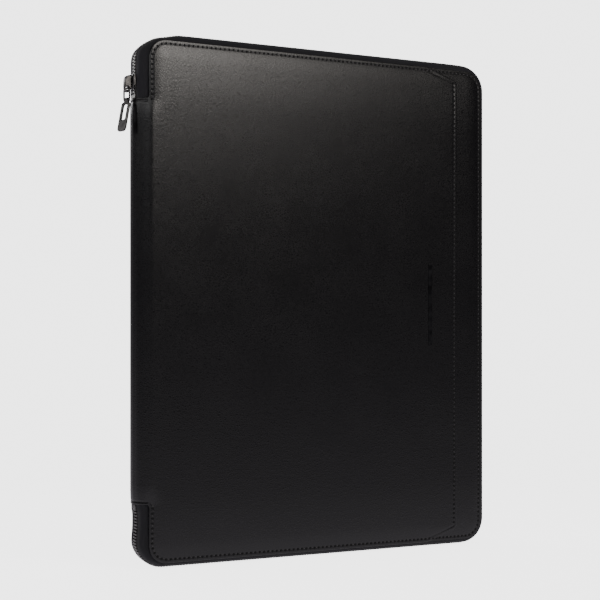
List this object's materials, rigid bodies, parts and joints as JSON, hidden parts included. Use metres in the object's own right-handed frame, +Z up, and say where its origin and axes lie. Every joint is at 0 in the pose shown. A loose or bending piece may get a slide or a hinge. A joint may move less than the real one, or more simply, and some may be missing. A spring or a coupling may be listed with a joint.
{
  "type": "portfolio case",
  "caption": "Slim zip-around portfolio case for A4 paper: padded front and rear covers hinged on a rounded spine, inside pockets, card slots, pen loop and zip slider with hanging pull.",
  "frame": {"origin": "centre of the footprint on the surface the case stands on, midway between the covers", "axes": "+X from the spine to the fore-edge, +Y from the front cover to the rear cover, +Z up"},
  "size_m": [0.2803, 0.0244, 0.3445],
  "materials": {
    "leather": "semi-gloss fine grain",
    "pocket_leather": "smooth, half matt",
    "padding": "soft felt",
    "board": "matt",
    "lining": "fine twill",
    "zip_tape": "woven herringbone",
    "zip_metal": "polished gunmetal",
    "pull_metal": "polished gunmetal",
    "trim": "gloss black"
  },
  "bodies": {
    "spine": {"spine_leather": "leather", "spine_board": "board", "spine_lining": "lining", "front_end_tape_top": "zip_tape", "front_end_tape_bottom": "zip_tape", "rear_end_tape_top": "zip_tape", "rear_end_tape_bottom": "zip_tape", "front_end_teeth_top": "zip_metal", "front_end_teeth_bottom": "zip_metal", "rear_end_teeth_top": "zip_metal", "rear_end_teeth_bottom": "zip_metal", "zip_stop_top": "zip_metal", "zip_stop_bottom": "zip_metal"},
    "front_cover": {"front_pocket_panel": "leather", "front_base_panel": "leather", "front_foam": "padding", "front_board": "board", "front_lining": "lining", "document_pocket": "pocket_leather", "card_slot_upper": "pocket_leather", "card_slot_middle": "pocket_leather", "card_slot_lower": "pocket_leather", "pen_loop": "pocket_leather", "trim_bar": "trim", "front_zip_tape": "zip_tape", "front_zip_teeth": "zip_metal"},
    "rear_cover": {"rear_cover_leather": "leather", "rear_backing": "lining", "rear_foam": "padding", "rear_board": "board", "rear_lining": "lining", "notepad_pocket": "pocket_leather", "rear_zip_tape": "zip_tape", "rear_zip_teeth": "zip_metal"},
    "slider": {"slider_body": "pull_metal", "slider_crown": "pull_metal"},
    "pull_link": {"pull_link": "pull_metal"},
    "pull_tab": {"pull_tab": "pull_metal"}
  },
  "joints": [
    {"name": "front_cover_hinge", "type": "hinge", "parent": "spine", "child": "front_cover", "pos_m": [-0.1239, -0.012, 0.1715], "axis": [0, 0, -1], "range_deg": [0, 90]},
    {"name": "rear_cover_hinge", "type": "hinge", "parent": "spine", "child": "rear_cover", "pos_m": [-0.1239, 0.012, 0.1715], "axis": [0, 0, 1], "range_deg": [0, 90]},
    {"name": "slider_travel", "type": "slide", "parent": "spine", "child": "slider", "axis": [0, 0, 1], "range_m": [0, 0.008]},
    {"name": "link_swing", "type": "hinge", "parent": "slider", "child": "pull_link", "pos_m": [-0.1344, 0, 0.3079], "axis": [-0.2588, 0.9659, 0], "range_deg": [-3, 120]},
    {"name": "tab_swing", "type": "hinge", "parent": "pull_link", "child": "pull_tab", "pos_m": [-0.1344, 0, 0.3005], "axis": [-0.2588, 0.9659, 0], "range_deg": [-6, 45]}
  ]
}
